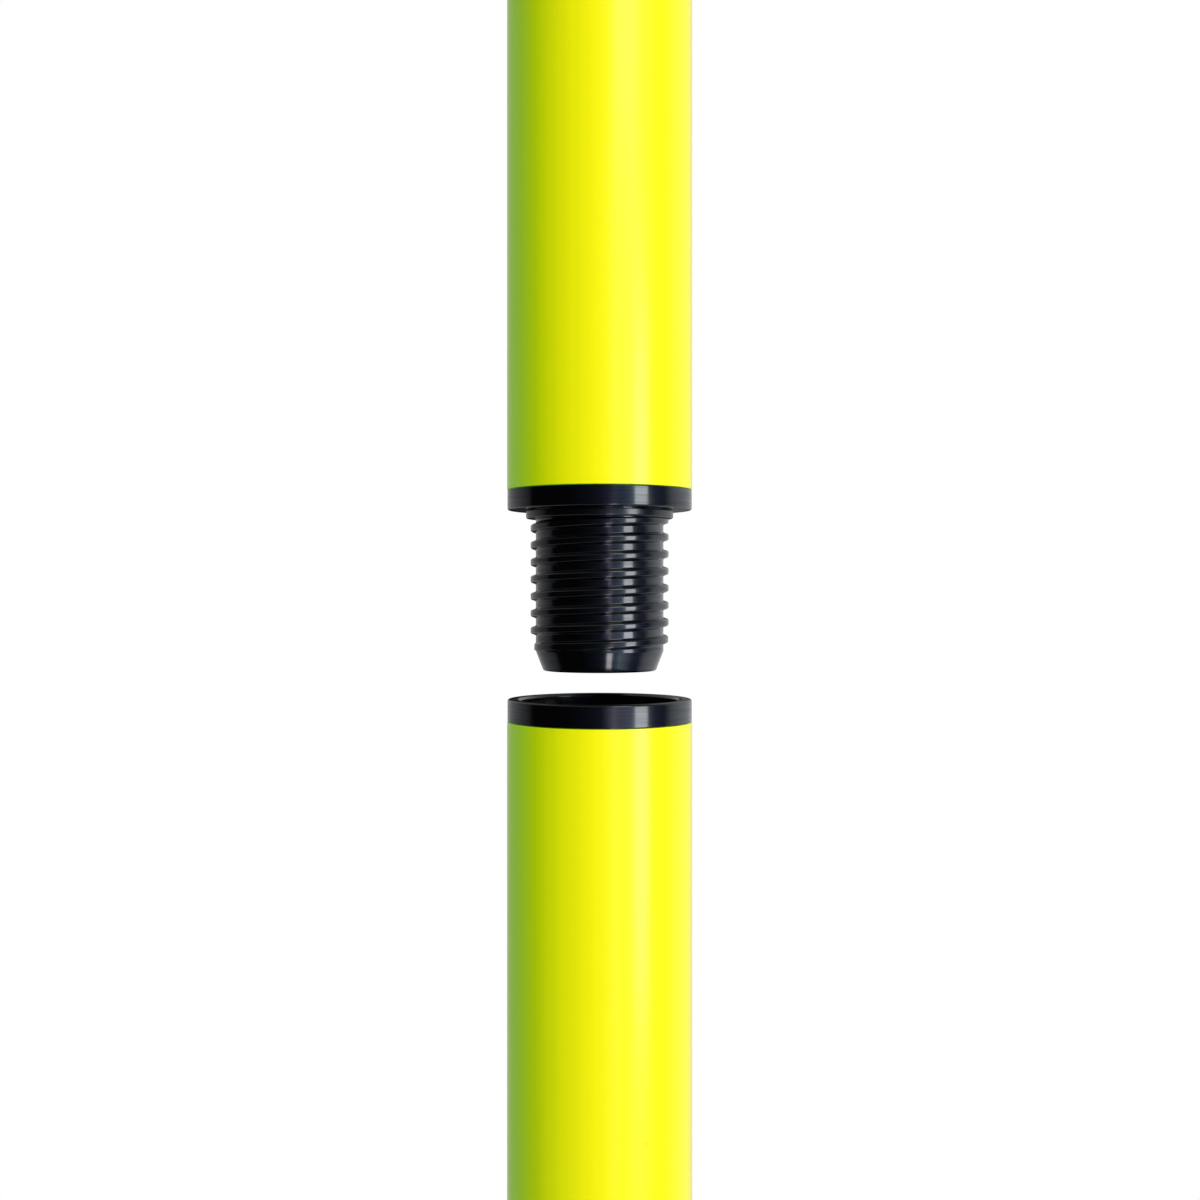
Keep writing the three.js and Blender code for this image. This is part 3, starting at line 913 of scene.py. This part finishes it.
# The floor under the spike's tip
FLOOR_RADIUS = 2.2
FLOOR_FADE_START = 0.45  # share of its radius where it begins to pass into the background
FLOOR_FADE_END = 0.97  # share of its radius where nothing is left of it
FLOOR_WHITE = 0.5  # share of white in the floor as the camera sees it
FLOOR_BOUNCE = 0.5  # share of its colour that it has for all other rays

# The lights round the pole: name, radiance property, azimuth in degrees from the camera's side towards +X,
# elevation in degrees, width, height, tint, and whether reflections show it
LIGHT_CENTRE = Vector((0, 0, CAMERA_HEIGHT))
LIGHT_DISTANCE = 1.6
LIGHTS = (
    ("side_softbox", "side_light", 52.4, -3.0, 0.49, 0.79, (0.93, 0.975, 1.0), True),
    ("high_softbox", "high_light", 30.5, 36.0, 0.65, 1.08, (1.0, 0.99, 0.97), True),
    ("front_fill", "front_light", 30.0, 15.0, 1.0, 1.0, (1.0, 1.0, 1.0), False),
    ("back_fill", "back_light", -154.0, 12.0, 1.0, 1.0, (1.0, 1.0, 1.0), False),
)

# The room that reflections show: the colour of its sides by azimuth, as above. It is pale behind the pole,
# dark in front of it on the left, and bluish in front of it on the right, round the side softbox.
ROOM_SIDES = (
    (-180, (0.01, 0.01, 0.01)),
    (-171, (0.05, 0.05, 0.05)),
    (-162, (0.5, 0.5, 0.49)),
    (-150, (0.4, 0.4, 0.4)),
    (-123, (0.36, 0.37, 0.39)),
    (-105, (0.26, 0.27, 0.3)),
    (-98, (0.19, 0.2, 0.22)),
    (-92, (0.02, 0.02, 0.02)),
    (-40, (0.006, 0.006, 0.008)),
    (-14, (0.04, 0.05, 0.09)),
    (0, (0.08, 0.1, 0.18)),
    (9, (0.17, 0.19, 0.42)),
    (18, (0.43, 0.49, 0.88)),
    (30, (0.45, 0.58, 1.0)),
    (38, (0.75, 1.05, 1.45)),
    (43, (1.4, 1.9, 2.4)),
    (65, (0.5, 0.6, 0.85)),
    (73, (0.19, 0.23, 0.45)),
    (87, (0.11, 0.15, 0.25)),
    (101, (0.74, 0.8, 0.93)),
    (118, (0.85, 0.91, 0.96)),
    (143, (0.64, 0.66, 0.7)),
    (159, (0.66, 0.68, 0.7)),
    (168, (0.44, 0.44, 0.45)),
    (180, (0.01, 0.01, 0.01)),
)

# Patches over the sides: colour, share, and a window in azimuth and one in height, each with its middle,
# its half width and its soft edge. Heights go from -1, straight down, to 1.
ROOM_PATCHES = (
    ((2.1, 2.0, 2.4), 1.0, (18, 1.1, 3.8), (-1.0, 0.98, 0.08)),
    ((1.3, 1.35, 1.9), 0.9, (30, 12, 16), (-0.07, 0.03, 0.02)),
    ((8.0, 7.8, 8.0), 1.0, (21.5, 5.0, 1.2), (-0.72, 0.12, 0.03)),
)
ROOM_GROUND = (0.6, 0.57, 0.55)
ROOM_GROUND_WINDOW = (-1.0, 0.08, 0.18)
ROOM_CEILING = (0.42, 0.42, 0.44)
ROOM_CEILING_EDGE = (0.42, 0.7)


def softbox(name, radiance, azimuth, elevation, width, height, tint, glossy):
    """A rectangular light that faces the pole's middle. Its power is pi * radiance * area."""
    turn = math.radians(azimuth)
    lift = math.radians(elevation)
    away = Vector((math.cos(lift) * math.sin(turn), -math.cos(lift) * math.cos(turn), math.sin(lift)))
    lamp = bpy.data.lights.new(name, "AREA")
    lamp.shape = "RECTANGLE"
    lamp.size = width
    lamp.size_y = height
    lamp.energy = math.pi * radiance * width * height
    lamp.color = tint
    stand = bpy.data.objects.new(name, lamp)
    stand.location = LIGHT_CENTRE + away * LIGHT_DISTANCE
    stand.rotation_euler = (-away).to_track_quat("-Z", "Y").to_euler()
    stand.visible_camera = False
    stand.visible_glossy = glossy
    bpy.context.scene.collection.objects.link(stand)


def studio_world():
    """White for the camera. All other rays see the room: its sides by the azimuth of their direction, the
    patches over them, and its ground and ceiling by the direction's height."""
    world = bpy.data.worlds.new("studio")
    world.use_nodes = True
    graph = Graph(world.node_tree)
    direction = graph.node("ShaderNodeTexCoord")["Generated"]
    axis = graph.node("ShaderNodeSeparateXYZ", {}, {"Vector": direction})
    azimuth = axis.math("ARCTAN2", axis["X"], 0 - axis["Y"]) * (180 / math.pi)
    ramp = [(0.5 + degrees / 360, rgba(tint)) for degrees, tint in ROOM_SIDES]
    room = graph.node("ShaderNodeValToRGB", {"stops": ramp}, {"Fac": 0.5 + azimuth * (1 / 360)})
    for tint, strength, across, upright in ROOM_PATCHES:
        patch = graph.window(azimuth, *across) * graph.window(axis["Z"], *upright) * strength
        room = graph.mix(patch, room, rgba(tint))
    room = graph.mix(graph.window(axis["Z"], *ROOM_GROUND_WINDOW), room, rgba(ROOM_GROUND))
    room = graph.mix(graph.smooth_step(axis["Z"], *ROOM_CEILING_EDGE), room, rgba(ROOM_CEILING))
    reflected = graph.node("ShaderNodeBackground", {}, {"Color": room, "Strength": 1.0})
    white = graph.node("ShaderNodeBackground", {}, {"Color": WHITE, "Strength": 1.0})
    seen = graph.node("ShaderNodeLightPath")["Is Camera Ray"]
    mixed = graph.node("ShaderNodeMixShader", {}, {0: seen, 1: reflected, 2: white})
    graph.node("ShaderNodeOutputWorld", {}, {"Surface": mixed})
    return world


def pale_floor(graph, place, finish):
    """A pale floor that passes into the white background towards its rim and keeps the pole's shadow."""
    reach = graph.node("ShaderNodeVectorMath", {"operation": "LENGTH"}, {0: place}, "Value")
    share_of_radius = reach * (1 / FLOOR_RADIUS)
    whiteness = graph.smooth_step(share_of_radius, FLOOR_FADE_START, FLOOR_FADE_END, FLOOR_WHITE)
    seen = graph.node("ShaderNodeLightPath")["Is Camera Ray"]
    tone = graph.shade(graph.noise(place, 40, 3.0), finish.floor, 0.985, 1.015)
    shown = graph.mix(seen, rgba(finish.floor, FLOOR_BOUNCE), tone)
    matt = graph.node("ShaderNodeBsdfDiffuse", {}, {"Color": shown})
    white = graph.node("ShaderNodeEmission", {}, {"Color": WHITE, "Strength": 1.0})
    mixed = graph.node("ShaderNodeMixShader", {}, {0: whiteness * seen, 1: matt, 2: white})
    graph.node("ShaderNodeOutputMaterial", {}, {"Surface": mixed})


def add_floor():
    """A disc in level rings: a point is (radius cos a, radius sin a, floor height), and the ring of
    radius 0 is one point."""
    rings = 24
    spokes = 96
    height = extent("ground_spike")[0]
    radius = np.linspace(0, FLOOR_RADIUS, rings + 1)[1:, None]
    angles = np.arange(spokes) / spokes * FULL_TURN
    level = np.full((rings, spokes), height)
    points = np.stack([radius * np.cos(angles), radius * np.sin(angles), level], axis=-1).reshape(-1, 3)
    points = np.vstack([[0, 0, height], points])
    index = 1 + np.arange(rings * spokes).reshape(rings, spokes)
    onward = np.roll(index, -1, axis=1)
    centre = np.stack([np.zeros(spokes, int), index[0], onward[0]], axis=-1)
    bands = np.stack([index[:-1], index[1:], onward[1:], onward[:-1]], axis=-1).reshape(-1, 4)
    mesh = bpy.data.meshes.new("studio_floor")
    mesh.from_pydata(points.tolist(), [], centre.tolist() + bands.tolist())
    mesh.materials.append(material(pale_floor))
    floor = bpy.data.objects.new("studio_floor", mesh)
    floor.visible_glossy = False
    bpy.context.scene.collection.objects.link(floor)


class POLE_OT_stage(bpy.types.Operator):
    """Set up the camera, the lights, the background and the floor"""

    bl_idname = "pole.stage"
    bl_label = "Studio"

    def execute(self, context):
        scene = context.scene
        camera = bpy.data.objects.new("camera", bpy.data.cameras.new("camera"))
        camera.data.lens = CAMERA_LENS
        camera.data.shift_y = CAMERA_SHIFT
        camera.location = CAMERA_PLACE
        camera.rotation_euler = (CAMERA_TILT, 0, 0)
        scene.collection.objects.link(camera)
        scene.camera = camera
        scene.view_settings.view_transform = "Standard"
        scene.world = studio_world()
        for name, radiance, *placing in LIGHTS:
            softbox(name, getattr(scene.pole_finish, radiance), *placing)
        add_floor()
        return {"FINISHED"}


class POLE_PT_pieces(bpy.types.Panel):
    """The pole's pieces and their sizes"""

    bl_idname = "POLE_PT_pieces"
    bl_label = "Slalom Pole"
    bl_space_type = "VIEW_3D"
    bl_region_type = "UI"
    bl_category = "Pole"

    def draw(self, context):
        for operator in OPERATORS:
            self.layout.operator(operator.bl_idname)
        for name, (group, label) in GROUPS.items():
            box = self.layout.box()
            box.label(text=label)
            for field in group.__annotations__:
                box.prop(getattr(context.scene, name), field)


GROUPS = {
    "pole_tube": (PoleTubeSizes, "Tubes"),
    "pole_thread": (PoleThreadSizes, "Connectors"),
    "pole_ends": (PoleEndSizes, "Ends"),
    "pole_finish": (PoleFinish, "Finish"),
}

OPERATORS = (
    POLE_OT_stage,
    POLE_OT_tubes,
    POLE_OT_threaded_plug,
    POLE_OT_thread_washer,
    POLE_OT_threaded_socket,
    POLE_OT_top_cap,
    POLE_OT_foot_plug,
    POLE_OT_ground_spike,
    POLE_OT_spike_fasteners,
)


def register():
    for name, (group, label) in GROUPS.items():
        bpy.utils.register_class(group)
        setattr(bpy.types.Scene, name, PointerProperty(type=group, name=label))
    for operator in OPERATORS:
        bpy.utils.register_class(operator)
    bpy.utils.register_class(POLE_PT_pieces)


def unregister():
    bpy.utils.unregister_class(POLE_PT_pieces)
    for operator in reversed(OPERATORS):
        bpy.utils.unregister_class(operator)
    for name, (group, _) in GROUPS.items():
        delattr(bpy.types.Scene, name)
        bpy.utils.unregister_class(group)


def main():
    """Makes the studio and the pieces."""
    register()
    bpy.ops.pole.stage()
    bpy.ops.pole.tubes()
    bpy.ops.pole.threaded_plug()
    bpy.ops.pole.thread_washer()
    bpy.ops.pole.threaded_socket()
    bpy.ops.pole.top_cap()
    bpy.ops.pole.foot_plug()
    bpy.ops.pole.ground_spike()
    bpy.ops.pole.spike_fasteners()


if __name__ == "__main__":
    main()
